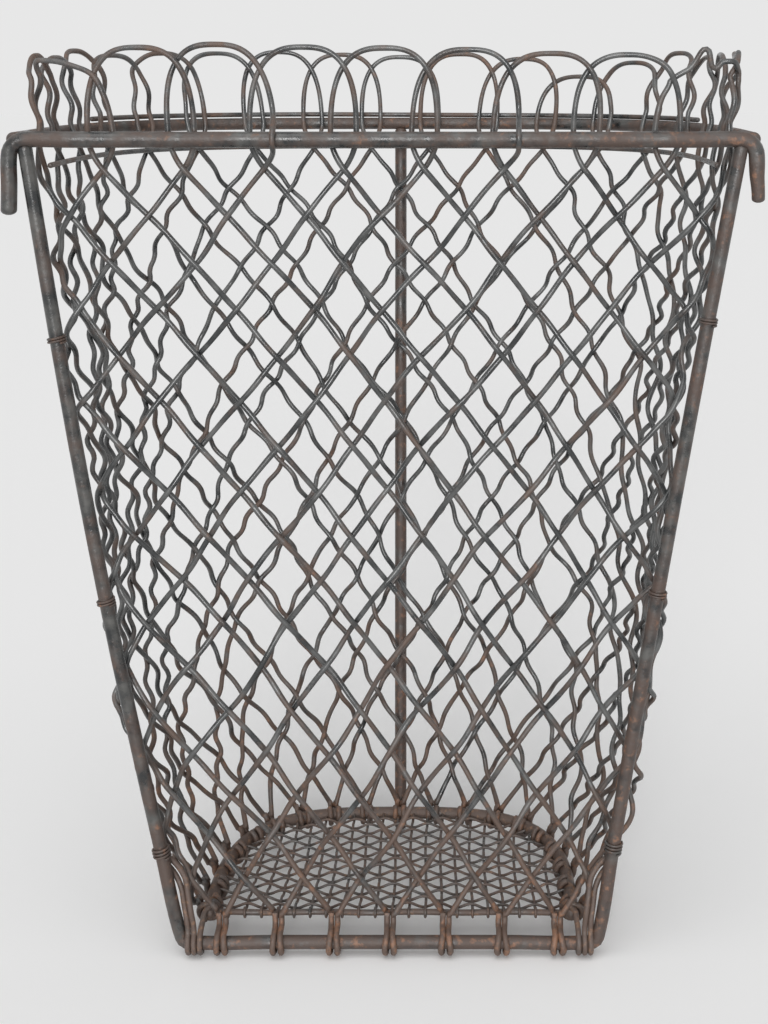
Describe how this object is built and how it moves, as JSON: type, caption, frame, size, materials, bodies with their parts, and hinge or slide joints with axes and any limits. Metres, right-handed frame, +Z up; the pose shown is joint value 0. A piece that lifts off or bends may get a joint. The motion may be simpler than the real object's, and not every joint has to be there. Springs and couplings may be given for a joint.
{
  "type": "wastepaper basket",
  "caption": "Half-round wirework wastepaper basket: flat framed front, curved back, diagonal wire lattice with a looped crown, and a raised woven wire floor.",
  "frame": {"origin": "bottom centre of the basket's bounding box, on the surface it stands on", "axes": "+Z up, the flat framed side faces -Y, the curved wall faces +Y, +X to the right seen from the flat side"},
  "size_m": [0.366, 0.2164, 0.4678],
  "materials": {
    "rod_paint": "worn dark grey paint with brown rust",
    "wire_paint": "worn black paint with rust specks",
    "rusted_wire": "brown rust over the remains of dark paint"
  },
  "bodies": {
    "root": {"top_bar": "rod_paint", "front_frame": "rod_paint", "back_rim": "rod_paint", "back_rod": "rod_paint", "rim_wire": "wire_paint", "collar_wire": "wire_paint", "floor_ring": "rusted_wire", "floor_front_wire": "rusted_wire", "lattice_wire_01": "wire_paint", "lattice_wire_02": "wire_paint", "lattice_wire_03": "wire_paint", "lattice_wire_04": "wire_paint", "lattice_wire_05": "wire_paint", "lattice_wire_06": "wire_paint", "lattice_wire_07": "wire_paint", "lattice_wire_08": "wire_paint", "lattice_wire_09": "wire_paint", "lattice_wire_10": "wire_paint", "lattice_wire_11": "wire_paint", "lattice_wire_12": "wire_paint", "lattice_wire_13": "wire_paint", "lattice_wire_14": "wire_paint", "lattice_wire_15": "wire_paint", "lattice_wire_16": "wire_paint", "lattice_wire_17": "wire_paint", "lattice_wire_18": "wire_paint", "lattice_wire_19": "wire_paint", "lattice_wire_20": "wire_paint", "lattice_wire_21": "wire_paint", "lattice_wire_22": "wire_paint", "lattice_wire_23": "wire_paint", "lattice_wire_24": "wire_paint", "lattice_wire_25": "wire_paint", "lattice_wire_26": "wire_paint", "floor_warp_01": "rusted_wire", "floor_warp_02": "rusted_wire", "floor_warp_03": "rusted_wire", "floor_warp_04": "rusted_wire", "floor_warp_05": "rusted_wire", "floor_warp_06": "rusted_wire", "floor_warp_07": "rusted_wire", "floor_warp_08": "rusted_wire", "floor_warp_09": "rusted_wire", "floor_warp_10": "rusted_wire", "floor_warp_11": "rusted_wire", "floor_warp_12": "rusted_wire", "floor_warp_13": "rusted_wire", "floor_warp_14": "rusted_wire", "floor_weft_01": "rusted_wire", "floor_weft_02": "rusted_wire", "floor_weft_03": "rusted_wire", "floor_weft_04": "rusted_wire", "floor_weft_05": "rusted_wire", "floor_weft_06": "rusted_wire", "floor_weft_07": "rusted_wire", "floor_weft_08": "rusted_wire", "floor_weft_09": "rusted_wire", "floor_weft_10": "rusted_wire", "floor_weft_11": "rusted_wire", "floor_weft_12": "rusted_wire"}
  },
  "joints": []
}
